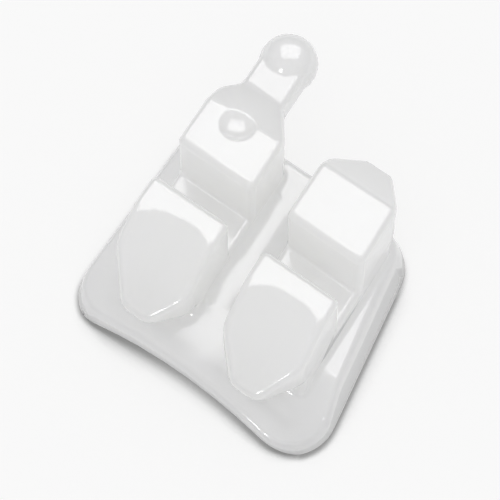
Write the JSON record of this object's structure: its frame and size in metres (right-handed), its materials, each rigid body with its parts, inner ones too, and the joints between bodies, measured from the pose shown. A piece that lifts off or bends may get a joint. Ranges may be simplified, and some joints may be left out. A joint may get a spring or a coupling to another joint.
{
  "type": "orthodontic bracket",
  "caption": "Leaning twin-wing ceramic orthodontic bracket with an archwire slot, a ball hook, a marking dimple and an arched bonding pad.",
  "frame": {"origin": "under the middle of the bonding pad, level with the pad's two side edges and in line with the middle of the archwire slot", "axes": "+X along the archwire slot, +Y towards the hook, +Z away from the tooth"},
  "size_m": [0.0044, 0.0047, 0.0017],
  "materials": {
    "alumina": "polished, slightly translucent white"
  },
  "bodies": {
    "root": {"bracket": "alumina"}
  },
  "joints": []
}
